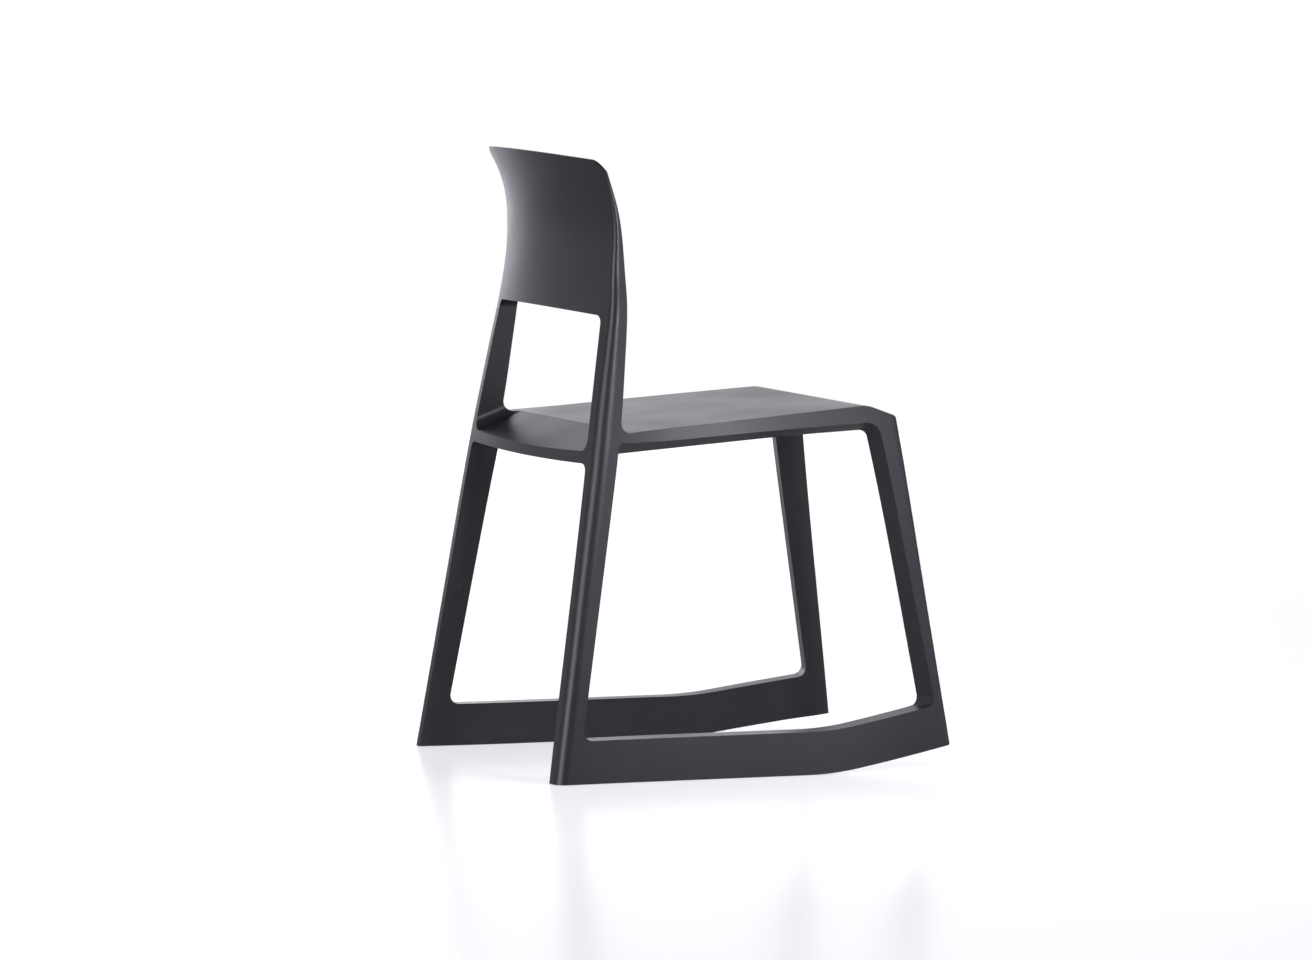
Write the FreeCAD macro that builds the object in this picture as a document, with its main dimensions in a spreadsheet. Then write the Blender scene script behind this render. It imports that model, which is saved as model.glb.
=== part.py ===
"""Moulded plastic rocking chair, built from separate hollow mouldings.

The chair faces -Y and stands on the plane Z = 0, +X is the sitter's left. Two hollow side frames
carry the seat pan and its top panel, and the backrest plugs into their posts. Glides let into the
runners carry the chair on the floor, on the rear flats when it stands and on the front flats when
it is tipped forward.
"""
import FreeCAD, Part
import math
import os

V = FreeCAD.Vector
RIGHT = -1
LEFT = 1

# Driving sizes, in millimetres and degrees, with what each one is
SIZES = (
    ("total_height", 789.2, "floor to the top edge of the backrest"),
    ("foot_half_width", 254.5, "half the width over the rear feet"),
    ("foot_rear", 262.0, "origin to the rear end of the runners"),
    ("foot_front", 301.4, "origin to the front face of the front legs at the floor"),
    ("knee_height", 400.0, "height up to which the rear posts are straight"),
    ("knee_half_width", 227.5, "half the width over the posts at the knee"),
    ("knee_rear", 200.0, "origin to the rear of the posts at the knee"),
    ("seat_level", 460.0, "height of the post section just above the seat"),
    ("seat_half_width", 220.0, "half the width over the posts at the seat"),
    ("seat_rear", 190.0, "origin to the rear of the posts at the seat"),
    ("window_half_width", 197.8, "half the width over the posts at the top of the window"),
    ("window_rear", 165.3, "origin to the rear of the posts at the top of the window"),
    ("waist_half_width", 188.0, "half the width of the backrest at its waist"),
    ("waist_rear", 159.3, "origin to the rear corner of the backrest at its waist"),
    ("crown_half_width", 189.0, "half the width of the backrest between waist and top"),
    ("crown_rear", 170.4, "origin to the rear corner of the backrest between waist and top"),
    ("top_half_width", 201.5, "half the width of the backrest at its top"),
    ("top_rear", 182.8, "origin to the rear corner of the backrest at its top"),
    ("backrest_height", 198.7, "window to the top edge of the backrest"),
    ("back_sag", 25.0, "how far the middle of the backrest lies behind its corners"),
    ("seat_sag", 14.0, "how far the middle of the rear lip lies behind the posts"),
    ("foot_sag", 6.0, "the same bow at the floor, which the post faces follow"),
    ("post_depth", 33.4, "front to rear of a post at the seat"),
    ("window_depth", 22.5, "front to rear of a post at the top of the window"),
    ("waist_depth", 9.0, "thickness of the backrest at its waist"),
    ("edge_thickness", 4.4, "thickness of the backrest at its top"),
    ("post_radius", 15.0, "rounding of the outer rear corner of a post"),
    ("edge_radius", 2.6, "rounding of that corner at the top of the backrest"),
    ("post_foot_width", 25.0, "width of a post seen from behind, at the floor"),
    ("post_seat_width", 30.5, "width of a post seen from behind, at the seat"),
    ("post_window_width", 26.5, "width of a post seen from behind, at the window's top"),
    ("crown_radius", 22.0, "rounding of the backrest's top corners"),
    ("window_radius", 12.0, "rounding of the window's top corners"),
    ("rail_flare", 25.0, "how far a post stands out from its rail at the seat"),
    ("foot_flare", 3.0, "the same at the floor"),
    ("flare_length", 110.0, "length over which a rail swings out to its post"),
    ("rail_taper", 0.03, "how much a rail closes in towards the front, per millimetre"),
    ("foot_toe", 30.0, "how far a runner toes in at its front end"),
    ("seat_toe", 11.0, "the same at the seat"),
    ("toe_length", 205.0, "length over which a runner toes in"),
    ("leg_radius", 12.0, "rounding of the outer front corner of a front leg"),
    ("leg_rake", 0.143, "how much a front leg leans back, per millimetre of height"),
    ("frame_thickness", 30.0, "thickness of a side frame at its runner and rail"),
    ("leg_width", 34.0, "width of a front leg seen from the front"),
    ("seat_height", 443.5, "floor to the top of the seat, 100 behind the origin"),
    ("seat_slope", 0.0745, "rise of the seat towards the front, per millimetre"),
    ("fall_start", 193.0, "origin to where the seat starts to fall at its front"),
    ("fall_slope", 0.36, "fall of the seat's front, per millimetre"),
    ("fall_radius", 40.0, "radius where the seat starts to fall"),
    ("nose_radius", 12.0, "radius between the seat's front and the front legs"),
    ("top_arch", 3.7, "rise of the backrest's top edge to its middle"),
    ("crease", 142.0, "origin to the crease where the seat dips to its rear lip"),
    ("ramp_slope", 0.39, "fall of the rear dip, per millimetre"),
    ("lip_height", 17.0, "height of the rear lip at the posts"),
    ("lip_slope", 0.20, "fall of the underside of the rear lip, per millimetre"),
    ("seat_depth", 30.0, "thickness of the seat between the side frames"),
    ("rail_height", 17.8, "height of a rail's outer face"),
    ("rail_draft", 0.36, "slope of the opening's top wall"),
    ("leg_draft", 0.25, "slope of the opening's front wall"),
    ("runner_draft", 0.02, "slope of the opening's bottom wall"),
    ("runner_height", 55.0, "height of a runner above its flat"),
    ("post_foot_depth", 27.2, "front to rear of a post at the floor"),
    ("leg_depth", 18.2, "front to rear of a front leg at the runner"),
    ("leg_seat_depth", 25.4, "front to rear of a front leg at the seat"),
    ("rock_angle", 9.0, "angle between the rear and the front flats of a runner"),
    ("rock_start", 118.0, "origin to where the two flats of a runner would meet"),
    ("rock_radius", 445.0, "radius that joins the two flats"),
    ("wall", 3.0, "wall of the hollow mouldings"),
    ("cover_wall", 3.2, "wall of the inner covers of the side frames"),
    ("panel_thickness", 4.0, "thickness of the seat top"),
    ("panel_margin", 4.5, "width of the rail's edge beside the seat top"),
    ("panel_gap", 0.35, "shadow line between the rail's edge and the seat top"),
    ("fit_gap", 0.25, "clearance of the tongues and spigots in their sockets"),
    ("tongue_length", 42.0, "length of the backrest's tongues in the posts"),
    ("seat_fillet", 13.0, "rounding between a post and the seat, on its inner side and in front"),
    ("window_arch", 3.0, "rise of the window's top edge to its middle"),
    ("lip_fillet", 12.0, "rounding between a post and the underside of the rear lip"),
    ("rib_thickness", 2.6, "thickness of the ribs in the seat pan"),
    ("glide_length", 46.0, "length of a glide"),
    ("glide_width", 15.0, "width of a glide"),
    ("glide_thickness", 2.2, "thickness of a glide's plate"),
    ("glide_proud", 0.8, "how far a glide stands out of its runner"),
    ("stud_diameter", 6.0, "diameter of a glide's studs"),
    ("stud_length", 5.0, "length of a glide's studs"),
    ("stud_pitch", 26.0, "distance between the two studs of a glide"),
    ("peg_diameter", 6.0, "diameter of the pegs on the inner covers"),
    ("peg_length", 9.0, "length of those pegs"),
    ("boss_diameter", 11.0, "diameter of the tubes that the pegs go into"),
    ("skin_margin", 5.0, "edge of the backrest left around its front skin"),
    ("tongue_wall", 2.5, "wall of the tongues"),
)


def make_sheet(doc):
    """The spreadsheet that holds the driving sizes."""
    table = doc.addObject("Spreadsheet::Sheet", "Sizes")
    for row, (alias, value, note) in enumerate(SIZES, start=1):
        table.set("A%d" % row, alias)
        table.set("B%d" % row, str(value))
        table.set("C%d" % row, note)
        table.setAlias("B%d" % row, alias)
    doc.recompute()
    return table


doc = FreeCAD.newDocument("rocking_chair")
sheet = make_sheet(doc)
S = {alias: float(getattr(sheet, alias)) for alias, _, _ in SIZES}

WINDOW_TOP = S["total_height"] - S["backrest_height"]
SEAM = WINDOW_TOP - S["window_radius"] - 4.0
FLARE_POWER = 1.5
TOE_POWER = 2.0
FAR = 520.0
BELOW = -40.0
LEVEL_STEP = 40.0
SEAM_INSIDE = 16.0
SOCKET_WALL = 4.0
SPIGOT_REACH = 12.0
LIP_BEND = 40.0


def blend(low, high, share):
    return low + (high - low) * share


def stations():
    """Sections of the rear band: height, half width, rear, depth, corner radius, bow."""
    top = S["total_height"]
    seat = S["seat_level"]
    window = WINDOW_TOP + 13.0
    waist = top - 86.0
    crown = top - 41.0
    foot = (0.0, S["foot_half_width"], S["foot_rear"], S["post_depth"], S["post_radius"], S["foot_sag"])
    knee = (S["knee_height"], S["knee_half_width"], S["knee_rear"], S["post_depth"],
            S["post_radius"], S["seat_sag"] - 1.0)
    rows = [
        extended(foot, knee, BELOW),
        extended(foot, knee, 0.5 * S["knee_height"]),
        knee,
        (seat, S["seat_half_width"], S["seat_rear"], S["post_depth"] - 1.0, S["post_radius"] - 0.5,
         S["seat_sag"] + 2.0),
        (0.5 * (seat + window), blend(S["seat_half_width"], S["window_half_width"], 0.46),
         blend(S["seat_rear"], S["window_rear"], 0.52), blend(S["post_depth"], S["window_depth"], 0.48),
         12.0, blend(S["seat_sag"], S["back_sag"], 0.6)),
        (window, S["window_half_width"], S["window_rear"], S["window_depth"], 9.0,
         S["back_sag"] - 1.5),
        (waist - 48.0, S["waist_half_width"] + 0.8, S["waist_rear"] + 1.7,
         blend(S["window_depth"], S["waist_depth"], 0.44), 6.8, S["back_sag"]),
        (waist, S["waist_half_width"], S["waist_rear"], S["waist_depth"], 4.6, S["back_sag"]),
        (crown, S["crown_half_width"], S["crown_rear"], S["edge_thickness"] + 0.9, 3.2, S["back_sag"]),
    ]
    last = (top, S["top_half_width"], S["top_rear"], S["edge_thickness"], S["edge_radius"],
            S["back_sag"])
    rows.append(last)
    rows.append(extended(rows[-2], last, top + 14.0))
    return rows


def extended(first, second, height):
    """The section at a height on the straight line through two sections."""
    share = (height - first[0]) / (second[0] - first[0])
    return (height,) + tuple(blend(a, b, share) for a, b in zip(first[1:], second[1:]))


def slope_at(rows, index, column):
    """Slope of a column at a station, none at a peak and limited so that nothing overshoots."""
    if index in (0, len(rows) - 1):
        near = 1 if index == 0 else index - 1
        return (rows[index][column] - rows[near][column]) / (rows[index][0] - rows[near][0])
    first, here, last = rows[index - 1], rows[index], rows[index + 1]
    before = (here[column] - first[column]) / (here[0] - first[0])
    after = (last[column] - here[column]) / (last[0] - here[0])
    if before * after <= 0.0:
        return 0.0
    return 2.0 * before * after / (before + after)


def row_at(height):
    """The section at any height, on a smooth curve through the stations."""
    rows = stations()
    index = 0
    while index < len(rows) - 2 and height > rows[index + 1][0]:
        index += 1
    first, last = rows[index], rows[index + 1]
    span = last[0] - first[0]
    share = (height - first[0]) / span
    values = [height]
    for column in range(1, len(first)):
        start = slope_at(rows, index, column) * span
        end = slope_at(rows, index + 1, column) * span
        rise = last[column] - first[column]
        bend = share * (1.0 - share)
        value = blend(first[column], last[column], share)
        value += bend * ((1.0 - share) * (start - rise) - share * (end - rise))
        values.append(value)
    return tuple(values)


def levels(low):
    """Evenly spaced sections from low to just above the top."""
    high = S["total_height"] + 14.0
    count = int((high - low) / LEVEL_STEP)
    return [row_at(blend(low, high, step / count)) for step in range(count + 1)]


def front_face(height):
    """Y of the front face of the front legs."""
    return -S["foot_front"] + S["leg_rake"] * height


def side_ramps(y, row):
    """How far a point is up the rear flare and the front toe-in, each 0 to 1 or a little more."""
    flare = max(0.0, (y - row[2] + S["flare_length"]) / S["flare_length"])
    toe = max(0.0, (front_face(row[0]) + S["toe_length"] - y) / S["toe_length"])
    return flare ** FLARE_POWER, toe ** TOE_POWER


def side_sizes(height):
    """Flare, taper and toe-in of the side faces at a height."""
    share = min(1.1, max(-0.2, height / S["seat_level"]))
    flare = blend(S["foot_flare"], S["rail_flare"], share)
    taper = S["rail_taper"] * max(0.1, share)
    toe = blend(S["foot_toe"], S["seat_toe"], share)
    return flare, taper, toe


def outer_x(y, row):
    """Half width of the chair at y, in the section that row describes."""
    flare, taper, toe = side_sizes(row[0])
    up, down = side_ramps(y, row)
    straight = min(0.0, y - row[2] + S["flare_length"])
    return row[1] - flare * (1.0 - up) + taper * straight - toe * down


def post_width(height):
    """Width of a post seen from behind."""
    if height < S["seat_level"]:
        share = height / S["seat_level"]
        return blend(S["post_foot_width"], S["post_seat_width"], share)
    share = (height - S["seat_level"]) / (WINDOW_TOP - S["seat_level"])
    return blend(S["post_seat_width"], S["post_window_width"], share)


def inner_x(y, row):
    """Half distance between the inner faces of the two side frames."""
    up, down = side_ramps(y, row)
    mid = S["frame_thickness"]
    rear = post_width(row[0])
    thickness = mid + (rear - mid) * min(1.0, up) + (S["leg_width"] - mid) * min(1.0, down)
    return outer_x(y, row) - thickness


def unit(x, y):
    length = math.hypot(x, y)
    return V(x / length, y / length, 0)


def unit_xz(x, z):
    length = math.hypot(x, z)
    return V(x / length, 0, z / length)


def corner_arc(corner, first, second, radius):
    """Arc of a rounded corner, between directions first and second away from the corner."""
    half = 0.5 * first.getAngle(second)
    reach = radius / math.tan(half)
    middle = (first + second).normalize()
    start = corner + first * reach
    end = corner + second * reach
    through = corner + middle * (radius / math.sin(half) - radius)
    return start, through, end


def plan_points(row, rear_inset, side_inset, front_inset):
    """Right half of a plan section, as its arcs and its side curve."""
    height, half, rear, _, radius, bow = row
    slope = (outer_x(rear, row) - outer_x(rear - 2.0, row)) / 2.0
    corner = V(half - side_inset, rear - rear_inset, height)
    turn = math.atan(2.0 * bow / half)
    inset = max(rear_inset, min(side_inset, radius))
    rear_arc = corner_arc(corner, unit(-1.0, math.tan(turn)), unit(-slope, -1.0),
                          max(0.8, radius - inset))
    front = front_face(height) + front_inset
    end_x = outer_x(front, row) - side_inset
    end_slope = (outer_x(front + 2.0, row) - outer_x(front, row)) / 2.0
    front_arc = corner_arc(V(end_x, front, height), unit(end_slope, 1.0), unit(-1.0, 0.0),
                           max(0.8, S["leg_radius"] - max(side_inset, front_inset)))
    count = 9
    side = [rear_arc[2]]
    for step in range(1, count):
        y = blend(rear_arc[2].y, front_arc[0].y, step / count)
        side.append(V(outer_x(y, row) - side_inset, y, height))
    side.append(front_arc[0])
    tangents = (unit(-slope, -1.0), unit(-end_slope, -1.0))
    return rear_arc, side, front_arc, tangents


def mirrored(point):
    return V(-point.x, point.y, point.z)


def side_splines(points, start, end):
    """Curve through points and its exact mirror image, which runs the other way.

    The points lie at even parameters, so that all sections of a loft share their knots.
    """
    curve = Part.BSplineCurve()
    steps = len(points) - 1
    even = [step / steps for step in range(steps + 1)]
    curve.interpolate(Points=points, Parameters=even, InitialTangent=start, FinalTangent=end)
    image = Part.BSplineCurve()
    poles = [mirrored(pole) for pole in reversed(curve.getPoles())]
    knots = [1.0 - knot for knot in reversed(curve.getKnots())]
    counts = list(reversed(curve.getMultiplicities()))
    image.buildFromPolesMultsKnots(poles, counts, knots, False, curve.Degree)
    return curve.toShape(), image.toShape()


def arc(start, through, end):
    return Part.Arc(start, through, end).toShape()


def plan_wire(row, rear_inset, side_inset, front_inset):
    """Closed plan section of the chair's outer form."""
    rear_arc, side, front_arc, tangents = plan_points(row, rear_inset, side_inset, front_inset)
    middle = V(0, row[2] + row[5] - rear_inset, row[0])
    one_side, other_side = side_splines(side, tangents[0], tangents[1])
    edges = [
        arc(mirrored(rear_arc[0]), middle, rear_arc[0]),
        arc(*rear_arc),
        one_side,
        arc(*front_arc),
        Part.makeLine(front_arc[2], mirrored(front_arc[2])),
        arc(*(mirrored(point) for point in reversed(front_arc))),
        other_side,
        arc(*(mirrored(point) for point in reversed(rear_arc))),
    ]
    return Part.Wire(edges)


def outer_form(rear_inset=0.0, side_inset=0.0, front_inset=0.0):
    """The outer form of the whole chair, before anything is cut out of it."""
    wires = [plan_wire(row, rear_inset, side_inset, front_inset) for row in levels(BELOW)]
    return Part.makeLoft(wires, True, False)


def back_front(inset=0.0):
    """The space in front of the backrest and the posts."""
    wires = []
    for row in levels(0.8 * S["knee_height"]):
        height, half, rear, depth, _, bow = row
        radius = (half * half + bow * bow) / (2.0 * bow)
        reach = half + 30.0
        centre = rear - depth + inset + bow - radius
        end_y = centre + math.sqrt(radius * radius - reach * reach)
        corners = [V(-reach, end_y, height), V(reach, end_y, height), V(reach, -FAR, height),
                   V(-reach, -FAR, height)]
        edges = [arc(corners[0], V(0, centre + radius, height), corners[1]),
                 Part.makeLine(corners[1], corners[2]),
                 Part.makeLine(corners[2], corners[3]),
                 Part.makeLine(corners[3], corners[0])]
        wires.append(Part.Wire(edges))
    return Part.makeLoft(wires, True, False)


def rounded_wire(points, radii):
    """Closed wire through points, with each corner rounded by its radius."""
    count = len(points)
    arcs = []
    for index, point in enumerate(points):
        before = points[index - 1] - point
        after = points[(index + 1) % count] - point
        if radii[index] > 0:
            arcs.append(corner_arc(point, before.normalize(), after.normalize(), radii[index]))
        else:
            arcs.append((point, None, point))
    edges = []
    for index, (start, through, end) in enumerate(arcs):
        if through is not None:
            edges.append(arc(start, through, end))
        edges.append(Part.makeLine(end, arcs[(index + 1) % count][0]))
    return Part.Wire(edges)


def side_prism(points, radii):
    """Prism along X over a side view outline of (y, z) points."""
    wire = rounded_wire([V(-FAR, y, z) for y, z in points], radii)
    return Part.Face(wire).extrude(V(2.0 * FAR, 0, 0))


def seat_z(y, drop=0.0):
    """Height of the seat's top, less a drop measured square to it."""
    return S["seat_height"] + S["seat_slope"] * (100.0 - y) - drop * math.hypot(1.0, S["seat_slope"])


def meet(y_slope, y_start, z_slope, z_start):
    """Where y = y_start + y_slope * z meets z = z_start + z_slope * y, as (y, z)."""
    z = (z_start + z_slope * y_start) / (1.0 - z_slope * y_slope)
    return y_start + y_slope * z, z


def above_seat(drop=0.0):
    """The space above the seat's top and in front of its fall and its nose."""
    front = -S["foot_front"] + drop * math.hypot(1.0, S["leg_rake"])
    start_y = -S["fall_start"]
    fall = drop * (math.hypot(1.0, S["fall_slope"]) - math.hypot(1.0, S["seat_slope"]))
    start_y += fall / (S["seat_slope"] + S["fall_slope"])
    start = (start_y, seat_z(start_y, drop))
    nose = meet(S["leg_rake"], front, S["fall_slope"], start[1] - S["fall_slope"] * start[0])
    half_turn = 0.5 * (math.pi / 2 - math.atan(S["leg_rake"]) - math.atan(S["fall_slope"]))
    reach = (S["nose_radius"] - drop) * math.tan(half_turn)
    down = unit(-S["leg_rake"], -1.0)
    past = (nose[0] + down.x * (reach + 0.2), nose[1] + down.y * (reach + 0.2))
    low = nose[1] - 160.0
    points = [(FAR, seat_z(FAR, drop)), start, nose, past, (nose[0] - 0.3 * 160.0, low),
              (-FAR, low), (-FAR, 2 * FAR), (FAR, 2 * FAR)]
    radii = [0, S["fall_radius"] - drop, S["nose_radius"] - drop, 0, 0, 0, 0, 0]
    return side_prism(points, radii)


def front_space(inset=0.0, drop=0.0):
    """The space in front of the posts and above the seat, rounded where the two meet."""
    space = back_front(inset).common(above_seat(drop))
    edges = [edge for edge in space.Edges if is_seat_edge(edge)]
    return space.makeFillet(S["seat_fillet"], edges)


def is_seat_edge(edge):
    """Whether an edge runs along the seat's rear, at the foot of the posts."""
    box = edge.BoundBox
    return box.XLength > 300 and box.YMin > 100 and box.ZMax < S["seat_level"]


def ramp_z(y, drop=0.0):
    start = seat_z(S["crease"])
    return start - S["ramp_slope"] * (y - S["crease"]) - drop * math.hypot(1.0, S["ramp_slope"])


def window(inset=0.0, fillet=None):
    """The opening between the posts, from the rear dip of the seat to the backrest."""
    low = S["seat_level"] - 70.0
    seat = row_at(S["seat_level"])
    top = row_at(WINDOW_TOP)
    seat_x = seat[1] - S["post_seat_width"] + inset
    top_x = top[1] - S["post_window_width"] + inset
    lean = (seat_x - top_x) / (WINDOW_TOP - S["seat_level"])
    low_x = seat_x + lean * (S["seat_level"] - low)
    top_z = WINDOW_TOP - S["window_arch"] + inset
    start = S["crease"] - 30.0
    corner = corner_arc(V(top_x, start, top_z), unit_xz(-1.0, 0.0), unit_xz(lean, -1.0),
                        S["window_radius"] + inset)
    sides = [corner[2], V(low_x, start, low), V(-low_x, start, low), mirrored(corner[2])]
    edges = [Part.makeLine(first, last) for first, last in zip(sides, sides[1:])]
    edges += [arc(*(mirrored(point) for point in reversed(corner))),
              arc(mirrored(corner[0]), V(0, start, WINDOW_TOP + inset), corner[0]), arc(*corner)]
    opening = Part.Face(Part.Wire(edges)).extrude(V(0, 300.0, 0))
    y_start = S["crease"] - inset
    side = [(y_start, seat_z(y_start, inset)), (FAR, ramp_z(FAR, inset)), (FAR, 2 * FAR),
            (y_start, 2 * FAR)]
    opening = opening.common(side_prism(side, [0, 0, 0, 0]))
    if fillet:
        edges = [edge for edge in opening.Edges if is_ramp_edge(edge)]
        opening = opening.makeFillet(fillet, edges)
    return opening


def is_ramp_edge(edge):
    """Whether an edge of the window's space runs along the dip beside a post."""
    box = edge.BoundBox
    return box.XLength < 40 and box.YLength > 60 and box.ZMax < S["seat_level"] and abs(box.XMin) > 50


def inner_form(grow=0.0):
    """The space between the inner faces of the two side frames, from wall to wall."""
    wires = []
    for height in (BELOW, 0.5 * S["knee_height"], S["knee_height"], S["seat_level"] + 30.0):
        row = row_at(height)
        front = front_face(height)
        points = []
        count = 14
        for step in range(count + 1):
            y = blend(row[2], front, step / count)
            points.append(V(inner_x(y, row) + grow, y, height))
        one_side, other_side = side_splines(points, V(0, -1, 0), V(0, -1, 0))
        ends = [V(points[0].x, FAR, height), V(points[-1].x, -FAR, height)]
        edges = [
            Part.makeLine(mirrored(ends[0]), ends[0]),
            Part.makeLine(ends[0], points[0]),
            one_side,
            Part.makeLine(points[-1], ends[1]),
            Part.makeLine(ends[1], mirrored(ends[1])),
            Part.makeLine(mirrored(ends[1]), mirrored(points[-1])),
            other_side,
            Part.makeLine(mirrored(points[0]), mirrored(ends[0])),
        ]
        wires.append(Part.Wire(edges))
    return Part.makeLoft(wires, True, False)


def under_seat(inset=0.0):
    """Side view outline below the seat's underside."""
    lip_y = S["knee_rear"] - 8.0
    lip_z = ramp_z(lip_y) - S["lip_height"] + inset
    seat_line = seat_z(0.0, S["seat_depth"]) + inset
    # the lip's underside meets the seat's underside where both lines cross
    cross = (seat_line - lip_z - S["lip_slope"] * lip_y) / (S["seat_slope"] - S["lip_slope"])
    cross_z = seat_line - S["seat_slope"] * cross
    return [(FAR, lip_z - S["lip_slope"] * (FAR - lip_y)), (cross, cross_z),
            (-FAR, seat_line + S["seat_slope"] * FAR), (-FAR, 2 * BELOW), (FAR, 2 * BELOW)]


def leg_space(inset=0.0):
    """The space between the side frames below the seat."""
    space = inner_form(inset).common(side_prism(under_seat(inset), [0, LIP_BEND, 0, 0, 0]))
    edges = [edge for edge in space.Edges if is_underside_edge(edge)]
    return space.makeFillet(S["lip_fillet"], edges)


def is_underside_edge(edge):
    """Whether an edge of the leg space runs along the seat's underside beside a side frame."""
    box = edge.BoundBox
    return box.ZMin > 280 and abs(box.XMin) > 50 and box.XLength < 60 and box.YLength > 20 and (
        box.ZLength < 160)


def opening_corners(x, inset=0.0):
    """Corners of a side frame's opening in the plane at x, as (y, z)."""
    rear_rake = (S["foot_rear"] - S["knee_rear"]) / S["knee_height"]
    rear_rake += (S["post_depth"] - 2.0 - S["post_foot_depth"]) / S["knee_height"]
    rear_y = S["foot_rear"] - S["post_foot_depth"] + inset
    front_rake = S["leg_rake"] + (S["leg_seat_depth"] - S["leg_depth"]) / S["knee_height"]
    leg_x = S["seat_half_width"] - 12.0
    front_y = front_face(0.0) + S["leg_depth"] - 2.0 + S["leg_draft"] * (leg_x - x) - inset
    rail_x = S["seat_half_width"] - S["rail_flare"]
    rail_z = seat_z(0.0, S["rail_height"]) - S["rail_draft"] * (rail_x - x) + inset
    runner_x = S["foot_half_width"] - 6.0
    runner_z = S["runner_height"] + S["runner_draft"] * (runner_x - x) - inset
    tilt = math.tan(math.radians(S["rock_angle"]))
    bend_y = -S["rock_start"]
    rear_low = (rear_y - rear_rake * runner_z, runner_z)
    bend = (bend_y, runner_z)
    front_low = meet(front_rake, front_y, -tilt, runner_z + tilt * bend_y)
    front_top = meet(front_rake, front_y, -S["seat_slope"], rail_z)
    rear_top = meet(-rear_rake, rear_y, -S["seat_slope"], rail_z)
    return [rear_low, bend, front_low, front_top, rear_top]


def side_opening(inset=0.0):
    """The openings of both side frames, wider outside than inside."""
    tools = []
    planes = (130.0, 330.0)
    nose_radii = (4.0, 60.0)
    for side in (RIGHT, LEFT):
        wires = []
        for x, nose in zip(planes, nose_radii):
            points = [V(side * x, y, z) for y, z in opening_corners(x, inset)]
            radii = [12.0 + inset, S["rock_radius"], 13.0 + inset, nose + inset, 6.0 + inset]
            wires.append(rounded_wire(points, radii))
        tools.append(Part.makeLoft(wires, True, True))
    return tools


def below_runner(raise_by=0.0):
    """The space under the runners, with the rear flat, the bend and the front flat."""
    tilt = math.tan(math.radians(S["rock_angle"]))
    floor = S["glide_proud"] + raise_by
    start = -S["rock_start"]
    points = [(FAR, floor), (start, floor), (-FAR, floor + tilt * (FAR + start)), (-FAR, 2 * BELOW),
              (FAR, 2 * BELOW)]
    return side_prism(points, [0, S["rock_radius"], 0, 0, 0])


def crown(inset=0.0):
    """Front view outline of the chair, which arches its top edge and rounds the top corners."""
    top = S["total_height"] - S["top_arch"] - inset
    slant = (S["top_half_width"] - S["crown_half_width"]) / 41.0
    edge = S["top_half_width"] - inset + 0.2
    low = S["total_height"] - 60.0
    low_x = edge - slant * 60.0 + 3.0
    corner = corner_arc(V(edge, -FAR, top), unit_xz(-1.0, 0.0), unit_xz(-slant, -1.0),
                        S["crown_radius"] - inset)
    outline = [V(low_x, -FAR, low), V(FAR, -FAR, low - 20.0), V(FAR, -FAR, 2 * BELOW)]
    right = [corner[2]] + outline
    left = [mirrored(point) for point in reversed(right)]
    middle = V(0, -FAR, S["total_height"] - inset)
    edges = [arc(mirrored(corner[0]), middle, corner[0]), arc(*corner)]
    path = right + left
    edges += [Part.makeLine(first, last) for first, last in zip(path, path[1:])]
    edges.append(arc(*(mirrored(point) for point in reversed(corner))))
    return Part.Face(Part.Wire(edges)).extrude(V(0, 2 * FAR, 0))


def master():
    """The whole chair as one solid form, before it is divided into mouldings."""
    form = outer_form().common(crown()).cut(front_space())
    form = form.cut(window(fillet=S["seat_fillet"])).cut(leg_space())
    for tool in side_opening():
        form = form.cut(tool)
    return form.cut(below_runner())


def slab(low, high):
    """All space between two heights."""
    return Part.makeBox(2 * FAR, 2 * FAR, high - low, V(-FAR, -FAR, low))


def half_space(side):
    """All space on one side of the middle plane."""
    return Part.makeBox(FAR, 2 * FAR, 3 * FAR, V(0 if side == LEFT else -FAR, -FAR, 2 * BELOW))


def seat_recess(gap=0.0):
    """The space of the seat top: a skin of the seat between the rails' edges."""
    skin = above_seat(S["panel_thickness"])
    outline = outer_form(0.0, S["panel_margin"] + gap, 0.0)
    front_low = seat_z(front_face(S["seat_level"]), S["seat_depth"])
    limits = side_prism([(S["crease"] - gap, front_low), (-FAR, front_low), (-FAR, 2 * FAR),
                         (S["crease"] - gap, 2 * FAR)], [0, 0, 0, 0])
    return skin.common(outline).common(limits)


def spigots(gap=0.0):
    """The blocks that key the seat pan into the rails."""
    blocks = []
    width, height = 30.0, 10.0
    for y in (-165.0, -45.0, 75.0):
        z = seat_z(y, 0.5 * S["seat_depth"] + 3.0)
        start = inner_x(y, row_at(z)) - SEAM_INSIDE - 5.0
        length = 5.0 + SPIGOT_REACH + gap
        for side in (RIGHT, LEFT):
            block = Part.makeBox(length, width + 2 * gap, height + 2 * gap)
            x = start if side == LEFT else -start - length
            block.translate(V(x, y - 0.5 * width - gap, z - 0.5 * height - gap))
            blocks.append(block)
    return blocks


def glide_places():
    """Place of each glide on the runners, as name, side, centre on the runner's underside, tilt."""
    tilt = math.tan(math.radians(S["rock_angle"]))
    places = []
    for name, y in (("heel", 222.0), ("rear", -62.0), ("front", -168.0), ("toe", -262.0)):
        rise = max(0.0, -S["rock_start"] - y) * tilt
        row = row_at(rise)
        middle = 0.5 * (outer_x(y, row) + inner_x(y, row))
        run = outer_x(y + 20.0, row) - outer_x(y - 20.0, row)
        yaw = math.degrees(math.atan2(run, 40.0))
        angle = -S["rock_angle"] if rise > 0 else 0.0
        places.append((name, V(middle, y, S["glide_proud"] + rise), yaw, angle))
    return places


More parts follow.
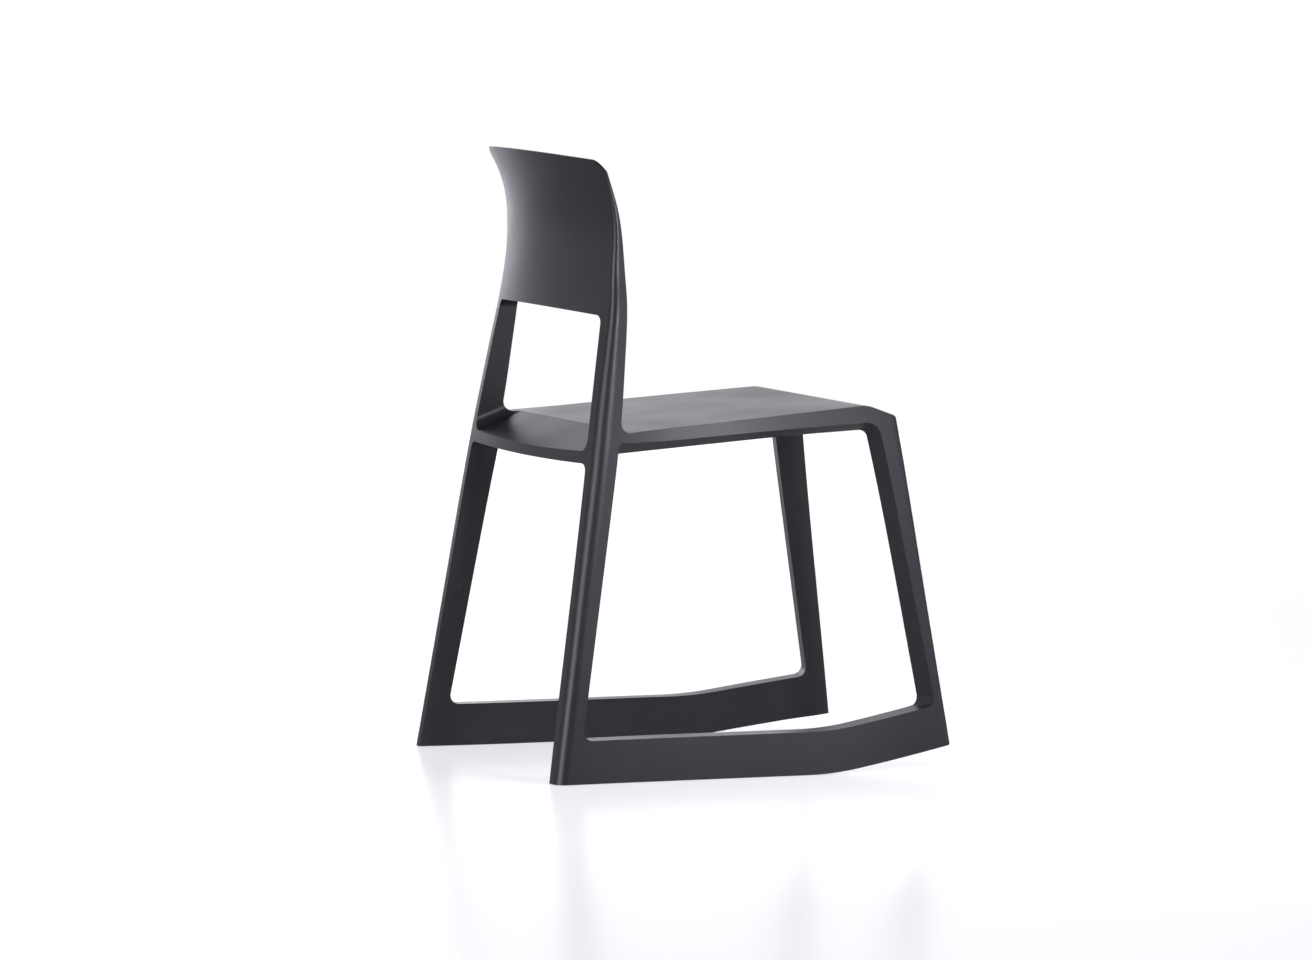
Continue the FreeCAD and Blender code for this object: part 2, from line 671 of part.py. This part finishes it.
def glide_placement(side, centre, yaw, angle):
    """Placement of a glide, whose long side runs along Y and whose studs point up."""
    turn = FreeCAD.Rotation(V(0, 0, 1), -side * yaw).multiply(FreeCAD.Rotation(V(1, 0, 0), angle))
    down = turn.multVec(V(0, 0, -S["glide_proud"]))
    return FreeCAD.Placement(V(side * centre.x, centre.y, centre.z) + down, turn)


def glide_seat(side, centre, yaw, angle):
    """The pocket and the stud holes for a glide in a runner."""
    gap = 0.5 * S["fit_gap"]
    radius = 0.5 * S["glide_width"] + gap
    half = 0.5 * S["glide_length"] - 0.5 * S["glide_width"]
    high = S["glide_thickness"]
    tool = Part.makeBox(2 * radius, 2 * half, high, V(-radius, -half, 0))
    for y in (-half, half):
        tool = tool.fuse(Part.makeCylinder(radius, high, V(0, y, 0)))
    for y in (-0.5 * S["stud_pitch"], 0.5 * S["stud_pitch"]):
        hole = Part.makeCylinder(0.5 * S["stud_diameter"], high + S["stud_length"], V(0, y, 0))
        tool = tool.fuse(hole)
    tool.Placement = glide_placement(side, centre, yaw, angle)
    return tool


def made_solid(shape):
    """The largest solid of a shape, without the slivers that a cut can leave."""
    return max(shape.Solids, key=lambda solid: solid.Volume)


def side_cavity(side):
    """The hollow of a side frame, inside its walls."""
    wall = S["wall"]
    drop = S["panel_thickness"] + wall - 0.4
    form = outer_form(wall, wall, wall).common(half_space(side)).common(slab(2 * BELOW, SEAM + 1.0))
    form = form.cut(front_space(wall, drop))
    form = form.cut(window(wall, S["seat_fillet"]))
    form = form.cut([inner_form(SOCKET_WALL - SEAM_INSIDE), leg_space(wall)])
    return form.cut([side_opening(wall)[0 if side == RIGHT else 1], below_runner(wall)])


def tongues(inset, low, high):
    """The inside of both hollow posts between two heights, with its faces moved in by inset."""
    form = outer_form(inset, inset, inset).common(slab(low, high))
    return form.cut([back_front(inset), window(inset)])


def peg_places():
    """Where the pegs of an inner cover stand, as (y, z)."""
    tilt = math.tan(math.radians(S["rock_angle"]))
    post = blend(S["foot_rear"], S["knee_rear"], 210.0 / S["knee_height"]) - 0.5 * S["post_depth"]
    leg = front_face(230.0) + 0.5 * (S["leg_depth"] + 4.0)
    toe = -205.0
    return [(post + 1.5, 210.0), (150.0, 0.5 * S["runner_height"]), (30.0, 0.5 * S["runner_height"]),
            (toe, 0.5 * S["runner_height"] - tilt * (toe + S["rock_start"])), (leg, 230.0)]


def pegs(side, radius, start, length):
    """Round pegs square to an inner cover, from start behind its inner face."""
    found = []
    for y, z in peg_places():
        x = inner_x(y, row_at(z)) + start
        found.append(Part.makeCylinder(radius, length, V(side * x, y, z), V(side, 0, 0)))
    return found


def bosses(side):
    """The tubes in a side frame that the pegs of its inner cover go into."""
    found = []
    start = 0.5 * S["cover_wall"]
    for y, z in peg_places():
        row = row_at(z)
        x = inner_x(y, row) + start
        length = outer_x(y, row) - 0.5 * S["wall"] - x
        found.append(Part.makeCylinder(S["boss_diameter"] / 2, length, V(side * x, y, z), V(side, 0, 0)))
    return found


def side_frame(whole, recess, side):
    """The shell of a side frame and the inner cover that closes it."""
    bottom = 2 * BELOW
    frame = whole.common(half_space(side)).common(slab(bottom, SEAM))
    frame = frame.cut([inner_form(-SEAM_INSIDE), recess])
    zone = inner_form(S["cover_wall"]).common(slab(bottom, S["knee_height"] - 15.0))
    cover = made_solid(frame.common(zone))
    start = 0.5 * S["cover_wall"]
    reach = start + S["peg_length"]
    cover = cover.fuse(pegs(side, S["peg_diameter"] / 2, start, reach))
    shell = frame.cut([zone, side_cavity(side)])
    shell = shell.fuse([boss.cut(zone) for boss in bosses(side)])
    tools = pegs(side, S["peg_diameter"] / 2 + 0.5 * S["fit_gap"], start, reach + 1.0)
    tools += spigots(S["fit_gap"])
    tools += [glide_seat(side, centre, yaw, angle) for _, centre, yaw, angle in glide_places()]
    return made_solid(shell.cut(tools)), made_solid(cover)


def backrest(whole):
    """The backrest with its tongues, and the skin let into its front."""
    back = whole.common(slab(SEAM, 2 * FAR))
    inset = S["skin_margin"]
    skin = outer_form(0.0, inset, 0.0).common(crown(inset)).common(back_front(S["wall"]))
    skin = skin.common(slab(WINDOW_TOP + inset, 2 * FAR))
    inset += S["wall"]
    core = outer_form(S["wall"], inset, inset).cut(back_front(0.5 * S["wall"]))
    core = core.common(slab(WINDOW_TOP + inset, S["total_height"] - 90.0))
    ribs = [Part.makeBox(S["rib_thickness"], 2 * FAR, 2 * FAR, V(x - 0.5 * S["rib_thickness"], -FAR, 0))
            for x in (-96.0, -32.0, 32.0, 96.0)]
    core = core.cut(ribs)
    low = SEAM - S["tongue_length"]
    inside = S["wall"] + S["fit_gap"]
    plugs = tongues(inside, low, SEAM + 2.0).cut(tongues(inside + S["tongue_wall"], low, SEAM + 3.0))
    rear = back.cut([skin, core])
    return made_solid(rear.fuse(plugs)), made_solid(back.common(skin))


def build_shells():
    """Every hollow moulding of the chair, by name."""
    whole = master()
    recess = seat_recess()
    shells = {}
    shell, cover = side_frame(whole, recess, LEFT)
    shells["left_side_shell"] = shell
    shells["left_inner_cover"] = cover
    shells["right_side_shell"] = shell.mirror(V(0, 0, 0), V(1, 0, 0))
    shells["right_inner_cover"] = cover.mirror(V(0, 0, 0), V(1, 0, 0))
    shells["seat_pan"] = seat_pan(whole, recess)
    shells["seat_top"] = made_solid(whole.common(seat_recess(S["panel_gap"])))
    shells["backrest_shell"], shells["backrest_front"] = backrest(whole)
    return shells


def seat_pan(whole, recess):
    """The tray under the seat top, with its ribs, its rear lip and its spigots."""
    zone = slab(300.0, S["seat_level"] + 25.0)
    pan = whole.common(inner_form(-SEAM_INSIDE).common(zone)).cut(recess)
    inside = inner_form(-SEAM_INSIDE - S["wall"]).common(zone)
    front_y = front_face(S["seat_level"]) + 2 * S["wall"] + S["panel_thickness"]
    rear_y = S["crease"] - 2 * S["wall"]
    floor = seat_z(0.0, S["seat_depth"]) + S["wall"]
    pocket = side_prism([(front_y, floor - S["seat_slope"] * front_y),
                         (rear_y, floor - S["seat_slope"] * rear_y), (rear_y, 2 * FAR),
                         (front_y, 2 * FAR)], [8, 8, 0, 0])
    pocket = pocket.common(inside)
    rib = S["rib_thickness"]
    ribs = [Part.makeBox(rib, 2 * FAR, 2 * FAR, V(x - 0.5 * rib, -FAR, 0))
            for x in (-110.0, -55.0, 0.0, 55.0, 110.0)]
    ribs += [Part.makeBox(2 * FAR, rib, 2 * FAR, V(-FAR, y - 0.5 * rib, 0))
             for y in (-150.0, -75.0, 0.0, 75.0)]
    pocket = pocket.cut(ribs)
    lip = side_prism([(S["crease"] + S["wall"], 0), (FAR, 0), (FAR, ramp_z(FAR, S["wall"])),
                      (S["crease"] + S["wall"], ramp_z(S["crease"] + S["wall"], S["wall"]))],
                     [0, 0, 0, 0])
    lip = lip.cut(side_prism(under_seat(S["wall"]), [0, LIP_BEND, 0, 0, 0])).common(inside)
    lip = lip.common(outer_form(S["wall"], S["wall"], S["wall"]))
    pan = pan.cut([pocket, lip])
    return made_solid(pan.fuse(spigots()))


def add_shell(name, shape, move):
    """A document object for a moulded shell."""
    node = doc.addObject("Part::Feature", name)
    node.Label = name
    node.Shape = shape
    node.Placement = FreeCAD.Placement(move, FreeCAD.Rotation())
    return node


def add_glide(name, placement):
    """A glide: a plate with round ends and two studs that press into the runner."""
    body = doc.addObject("PartDesign::Body", name)
    body.Label = name
    base = [f for f in body.Origin.OriginFeatures if f.Role == "XY_Plane"][0]
    plate = body.newObject("Sketcher::SketchObject", name + "_plate")
    plate.AttachmentSupport = [(base, "")]
    plate.MapMode = "FlatFace"
    half = 0.5 * S["glide_length"] - 0.5 * S["glide_width"]
    radius = 0.5 * S["glide_width"]
    up = V(0, 0, 1)
    plate.addGeometry(Part.ArcOfCircle(Part.Circle(V(0, half, 0), up, radius), 0, math.pi))
    plate.addGeometry(Part.ArcOfCircle(Part.Circle(V(0, -half, 0), up, radius), math.pi, 2 * math.pi))
    plate.addGeometry(Part.LineSegment(V(-radius, half, 0), V(-radius, -half, 0)))
    plate.addGeometry(Part.LineSegment(V(radius, -half, 0), V(radius, half, 0)))
    pad = body.newObject("PartDesign::Pad", name + "_pad")
    pad.Profile = plate
    pad.setExpression("Length", "Sizes.glide_thickness")
    studs = body.newObject("Sketcher::SketchObject", name + "_studs")
    studs.AttachmentSupport = [(base, "")]
    studs.MapMode = "FlatFace"
    for y in (-0.5 * S["stud_pitch"], 0.5 * S["stud_pitch"]):
        studs.addGeometry(Part.Circle(V(0, y, 0), up, 0.5 * S["stud_diameter"]))
    posts = body.newObject("PartDesign::Pad", name + "_stud_pads")
    posts.Profile = studs
    posts.setExpression("Length", "Sizes.glide_thickness + Sizes.stud_length")
    body.Placement = placement
    return body


def check(nodes):
    """Stops when an object failed or a shape is empty or invalid."""
    for item in doc.Objects:
        if "Invalid" in item.State or "Error" in item.State:
            raise RuntimeError("failed object: " + item.Name)
    for node in nodes:
        shape = node.Shape
        if shape.isNull() or not shape.isValid() or not shape.Solids:
            raise RuntimeError("bad shape: " + node.Label)


def depth_middle(shapes):
    """Middle of the depth of some shapes, measured on fine meshes of them."""
    depths = [point.y for shape in shapes for point in shape.tessellate(0.05)[0]]
    return 0.5 * (min(depths) + max(depths))


def main():
    shells = build_shells()
    move = V(0, -depth_middle([shells["left_side_shell"], shells["left_inner_cover"]]), 0)
    print("moved along Y by", round(move.y, 3))
    nodes = [add_shell(name, shape, move) for name, shape in shells.items()]
    for side, word in ((LEFT, "left"), (RIGHT, "right")):
        for name, centre, yaw, angle in glide_places():
            placement = glide_placement(side, centre, yaw, angle)
            placement.move(move)
            nodes.append(add_glide("%s_%s_glide" % (word, name), placement))
    doc.recompute()
    check(nodes)
    os.makedirs("parts", exist_ok=True)
    for node in nodes:
        node.Shape.exportStep("parts/%s.step" % node.Label)
        print(node.Label, len(node.Shape.Solids), round(node.Shape.Volume / 1000.0, 1), "cm3")


if __name__ == "__main__":
    main()
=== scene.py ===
"""Looks of the moulded plastic rocking chair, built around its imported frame.

Everything is in metres, in the frame's own axes: the sitter faces -Y and +X is the sitter's left.
"""
import math

import bpy
from mathutils import Matrix, Vector


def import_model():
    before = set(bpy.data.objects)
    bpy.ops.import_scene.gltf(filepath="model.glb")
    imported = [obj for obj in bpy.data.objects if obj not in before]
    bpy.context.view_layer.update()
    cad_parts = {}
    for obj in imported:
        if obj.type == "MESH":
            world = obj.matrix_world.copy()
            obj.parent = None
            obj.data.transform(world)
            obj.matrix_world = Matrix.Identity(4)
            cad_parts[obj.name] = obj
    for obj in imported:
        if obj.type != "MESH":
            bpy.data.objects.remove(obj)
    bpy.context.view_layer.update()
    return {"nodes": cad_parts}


MM = 0.001
WHITE = (1.0, 1.0, 1.0, 1.0)

# The photograph's camera, in degrees, metres and millimetres of lens
CAMERA_AZIMUTH = 247.658
CAMERA_ELEVATION = 4.747
CAMERA_ROLL = 0.305
CAMERA_DISTANCE = 12.833
CAMERA_AIM = Vector((0.0, 0.0171, 0.390))
CAMERA_RIGHT = 0.0237
CAMERA_UP = 0.0297
CAMERA_LENS = 273.0
CAMERA_REACH = 80.0
SENSOR_WIDTH = 36.0

# The floor: its size, its own colour and gloss, and the strength it shows to the camera
# and to reflections
FLOOR_RADIUS = 5.4
FLOOR_STEPS = 64
FLOOR_COLOUR = (0.50, 0.50, 0.51, 1.0)
FLOOR_GLOSS = (0.16, 0.16, 0.16, 1.0)
FLOOR_GLOSS_ROUGHNESS = 0.24
FLOOR_LIFT_COLOUR = (0.985, 0.98, 1.0, 1.0)
FLOOR_LIFT = 0.60
FLOOR_GLOW = 0.05

# The surround: its fill light, and the backdrop that reflections find behind the chair, which
# grows between two cosines of the angle to the camera's heading
FILL = 0.10
BACKDROP_GLOSS = 0.6
BACKDROP_FROM = 0.72
BACKDROP_FULL = 0.93

LIGHT_COLOUR = (1.0, 0.965, 1.07)
PANEL_DISTANCE = 6.0
LIT_MIDDLE = Vector((0.0, 0.0, 0.4))

# The plastic's patterns, as noise scales per metre, and the depths of its grain
CLOUD_SCALE = 7.0
SPECKLE_SCALE = 700.0
GRAIN_SCALE = 1500.0
SOFT_GRAIN_SCALE = 330.0
SPECKLE_SHARE = 0.35
PATTERN_LOW = 0.45
PATTERN_HIGH = 0.9
GRAIN_DEPTH = 0.03 * MM
SOFT_GRAIN_DEPTH = 0.05 * MM
SOFT_GRAIN_SHARE = 0.6
PLASTIC_IOR = 1.49

# Each plastic's darker and lighter shade, its roughness from low to high and its grain
CHARCOAL = ((0.0175, 0.0168, 0.0205, 1.0), (0.0235, 0.0226, 0.0275, 1.0), 0.38, 0.46, 0.5)
SATIN = ((0.0185, 0.0172, 0.0215, 1.0), (0.0245, 0.0230, 0.0285, 1.0), 0.34, 0.42, 0.4)
BLACK = ((0.012, 0.012, 0.013, 1.0), (0.018, 0.018, 0.019, 1.0), 0.5, 0.6, 0.4)
SATIN_NODES = ("seat_top", "backrest_shell", "backrest_front")


def direction(azimuth, elevation):
    """Unit vector towards a viewer, for a view that looks along +Y at azimuth 0."""
    a = math.radians(azimuth)
    e = math.radians(elevation)
    return Vector((math.sin(a) * math.cos(e), -math.cos(a) * math.cos(e), math.sin(e)))


def make_camera():
    """The camera at the photograph's viewing angle."""
    back = direction(CAMERA_AZIMUTH, CAMERA_ELEVATION)
    right = direction(CAMERA_AZIMUTH + 90.0, 0.0)
    up = back.cross(right)
    place = CAMERA_AIM + back * CAMERA_DISTANCE - right * CAMERA_RIGHT - up * CAMERA_UP
    roll = math.radians(CAMERA_ROLL)
    rolled_right = right * math.cos(roll) + up * math.sin(roll)
    rolled_up = up * math.cos(roll) - right * math.sin(roll)
    data = bpy.data.cameras.new("camera")
    data.lens = CAMERA_LENS
    data.sensor_width = SENSOR_WIDTH
    data.clip_end = CAMERA_REACH
    camera = bpy.data.objects.new("camera", data)
    axes = Matrix((rolled_right, rolled_up, back)).transposed().to_4x4()
    camera.matrix_world = Matrix.Translation(place) @ axes
    bpy.context.scene.collection.objects.link(camera)
    bpy.context.scene.camera = camera


def new_material(name):
    """An empty node material, its node tree and its output."""
    material = bpy.data.materials.new(name)
    material.use_nodes = True
    tree = material.node_tree
    tree.nodes.clear()
    output = tree.nodes.new("ShaderNodeOutputMaterial")
    return material, tree, output


def noise(tree, coordinates, scale, detail=2.0, roughness=0.5):
    """A noise texture in the object's own space."""
    node = tree.nodes.new("ShaderNodeTexNoise")
    node.inputs["Scale"].default_value = scale
    node.inputs["Detail"].default_value = detail
    node.inputs["Roughness"].default_value = roughness
    tree.links.new(coordinates, node.inputs["Vector"])
    return node.outputs["Fac"]


def remap(tree, value, low, high, from_low, from_high):
    """A value spread between two ends."""
    node = tree.nodes.new("ShaderNodeMapRange")
    node.inputs["From Min"].default_value = from_low
    node.inputs["From Max"].default_value = from_high
    node.inputs["To Min"].default_value = low
    node.inputs["To Max"].default_value = high
    tree.links.new(value, node.inputs["Value"])
    return node.outputs["Result"]


def colour_mix(tree, factor, first, second):
    """A colour between two, by a factor from 0 to 1."""
    node = tree.nodes.new("ShaderNodeMix")
    node.data_type = "RGBA"
    node.inputs["A"].default_value = first
    node.inputs["B"].default_value = second
    tree.links.new(factor, node.inputs["Factor"])
    return node.outputs["Result"]


def multiply_add(tree, value, factor, addend):
    """A value times a factor plus an addend, where the factor and the addend may be sockets."""
    node = tree.nodes.new("ShaderNodeMath")
    node.operation = "MULTIPLY_ADD"
    tree.links.new(value, node.inputs[0])
    for socket, given in ((node.inputs[1], factor), (node.inputs[2], addend)):
        if isinstance(given, float):
            socket.default_value = given
        else:
            tree.links.new(given, socket)
    return node.outputs["Value"]


def bump(tree, height, distance, strength, before=None):
    """A bump from a height field, on top of an earlier one if given."""
    node = tree.nodes.new("ShaderNodeBump")
    node.inputs["Distance"].default_value = distance
    node.inputs["Strength"].default_value = strength
    tree.links.new(height, node.inputs["Height"])
    if before is not None:
        tree.links.new(before, node.inputs["Normal"])
    return node.outputs["Normal"]


def add_shaders(tree, first, second):
    """The sum of two shaders."""
    both = tree.nodes.new("ShaderNodeAddShader")
    tree.links.new(first, both.inputs[0])
    tree.links.new(second, both.inputs[1])
    return both.outputs["Shader"]


def ray_level(tree, camera, gloss, other):
    """A strength for camera rays, one for the rest, and more for glossy and transmission rays."""
    path = tree.nodes.new("ShaderNodeLightPath")
    level = multiply_add(tree, path.outputs["Is Camera Ray"], camera - other, other)
    for name in ("Is Glossy Ray", "Is Transmission Ray"):
        level = multiply_add(tree, path.outputs[name], gloss, level)
    return level


def moulded_plastic(name, dark, light, rough_low, rough_high, grain_strength):
    """Fine-grained moulded plastic: faint flow clouds and speckle under a matt eroded grain."""
    material, tree, output = new_material(name)
    shader = tree.nodes.new("ShaderNodeBsdfPrincipled")
    coordinates = tree.nodes.new("ShaderNodeTexCoord").outputs["Object"]
    clouds = noise(tree, coordinates, CLOUD_SCALE, detail=3.0)
    speckle = noise(tree, coordinates, SPECKLE_SCALE, roughness=0.6)
    grain = noise(tree, coordinates, GRAIN_SCALE, detail=3.0, roughness=0.65)
    soft_grain = noise(tree, coordinates, SOFT_GRAIN_SCALE)
    pattern = multiply_add(tree, speckle, SPECKLE_SHARE, clouds)
    shade = remap(tree, pattern, 0.0, 1.0, PATTERN_LOW, PATTERN_HIGH)
    tree.links.new(colour_mix(tree, shade, dark, light), shader.inputs["Base Color"])
    rough = remap(tree, pattern, rough_low, rough_high, PATTERN_LOW, PATTERN_HIGH)
    tree.links.new(rough, shader.inputs["Roughness"])
    normal = bump(tree, soft_grain, SOFT_GRAIN_DEPTH, SOFT_GRAIN_SHARE * grain_strength)
    normal = bump(tree, grain, GRAIN_DEPTH, grain_strength, normal)
    tree.links.new(normal, shader.inputs["Normal"])
    shader.inputs["IOR"].default_value = PLASTIC_IOR
    tree.links.new(shader.outputs["BSDF"], output.inputs["Surface"])
    return material


def floor_material():
    """A plain pale floor with a soft gloss, which keeps the chair's shadow and reads as white."""
    material, tree, output = new_material("floor")
    diffuse = tree.nodes.new("ShaderNodeBsdfDiffuse")
    diffuse.inputs["Color"].default_value = FLOOR_COLOUR
    gloss = tree.nodes.new("ShaderNodeBsdfGlossy")
    gloss.inputs["Color"].default_value = FLOOR_GLOSS
    gloss.inputs["Roughness"].default_value = FLOOR_GLOSS_ROUGHNESS
    lift = tree.nodes.new("ShaderNodeEmission")
    lift.inputs["Color"].default_value = FLOOR_LIFT_COLOUR
    tree.links.new(ray_level(tree, FLOOR_LIFT, FLOOR_GLOW, 0.0), lift.inputs["Strength"])
    surface = add_shaders(tree, diffuse.outputs["BSDF"], gloss.outputs["BSDF"])
    surface = add_shaders(tree, surface, lift.outputs["Emission"])
    tree.links.new(surface, output.inputs["Surface"])
    return material


def make_floor():
    """A round floor under the chair, inside the ring of panels."""
    rim = [(FLOOR_RADIUS * math.cos(turn), FLOOR_RADIUS * math.sin(turn), 0.0)
           for turn in (math.tau * step / FLOOR_STEPS for step in range(FLOOR_STEPS))]
    mesh = bpy.data.meshes.new("floor")
    mesh.from_pydata(rim, [], [tuple(range(FLOOR_STEPS))])
    floor = bpy.data.objects.new("floor", mesh)
    bpy.context.scene.collection.objects.link(floor)
    floor.data.materials.append(floor_material())


def make_world():
    """A white surround for the camera, a white backdrop in reflections, and faint fill light."""
    world = bpy.data.worlds.new("studio")
    world.use_nodes = True
    bpy.context.scene.world = world
    tree = world.node_tree
    background = tree.nodes["Background"]
    background.inputs["Color"].default_value = WHITE
    heading = tree.nodes.new("ShaderNodeTexCoord").outputs["Generated"]
    along = tree.nodes.new("ShaderNodeVectorMath")
    along.operation = "DOT_PRODUCT"
    along.inputs[1].default_value = -direction(CAMERA_AZIMUTH, 0.0)
    tree.links.new(heading, along.inputs[0])
    backdrop = remap(tree, along.outputs["Value"], 0.0, BACKDROP_GLOSS,
                     BACKDROP_FROM, BACKDROP_FULL)
    tree.links.new(ray_level(tree, 1.0, backdrop, FILL), background.inputs["Strength"])


def area_light(name, place, target, width, height, radiance):
    """A rectangular soft box at a place, facing a target, unseen by the camera itself."""
    data = bpy.data.lights.new(name, "AREA")
    data.shape = "RECTANGLE"
    data.size = width
    data.size_y = height
    data.energy = math.pi * width * height * radiance
    data.color = LIGHT_COLOUR
    light = bpy.data.objects.new(name, data)
    aim = Vector(target) - Vector(place)
    light.rotation_euler = aim.to_track_quat("-Z", "Y").to_euler()
    light.location = place
    light.visible_camera = False
    bpy.context.scene.collection.objects.link(light)


def far_panel(name, turn, elevation, width, height, radiance):
    """A panel a few metres away, turned from +Y towards +X, with its sizes given as angles."""
    a = math.radians(turn)
    e = math.radians(elevation)
    away = Vector((math.sin(a) * math.cos(e), math.cos(a) * math.cos(e), math.sin(e)))
    size = [2.0 * PANEL_DISTANCE * math.tan(math.radians(0.5 * angle)) for angle in (width, height)]
    area_light(name, LIT_MIDDLE + away * PANEL_DISTANCE, LIT_MIDDLE, size[0], size[1], radiance)


def make_lights():
    """Panels far off as backdrop, rear and front light, and three small boxes close by."""
    far_panel("backdrop_left", 93.0, 5.0, 14.0, 15.0, 1.2)
    far_panel("backdrop_right", 112.0, 4.0, 26.0, 17.0, 1.7)
    far_panel("rear_left", 44.0, 6.0, 52.0, 14.0, 0.6)
    far_panel("rear_right", 336.0, 10.0, 30.0, 22.0, 8.0)
    far_panel("front", 200.0, 8.0, 30.0, 18.0, 1.5)
    area_light("side", (-1.3, -0.7, 0.6), (-0.2, 0.0, 0.4), 0.7, 0.7, 2.4)
    area_light("rail", (-1.15, -0.25, 0.72), (-0.2, -0.05, 0.43), 0.5, 0.25, 14.0)
    area_light("beyond", (1.5, 0.1, 0.7), (0.1, 0.15, 0.6), 0.8, 1.0, 1.0)


def paint(frame):
    """Gives every node its material."""
    charcoal = moulded_plastic("charcoal_polypropylene", *CHARCOAL)
    satin = moulded_plastic("satin_polypropylene", *SATIN)
    black = moulded_plastic("black_polyethylene", *BLACK)
    for name, node in frame["nodes"].items():
        if name.endswith("_glide"):
            material = black
        elif name in SATIN_NODES:
            material = satin
        else:
            material = charcoal
        node.data.materials.clear()
        node.data.materials.append(material)


def main():
    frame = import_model()
    scene = bpy.context.scene
    scene.view_settings.view_transform = "Standard"
    make_camera()
    make_world()
    make_lights()
    make_floor()
    paint(frame)


main()
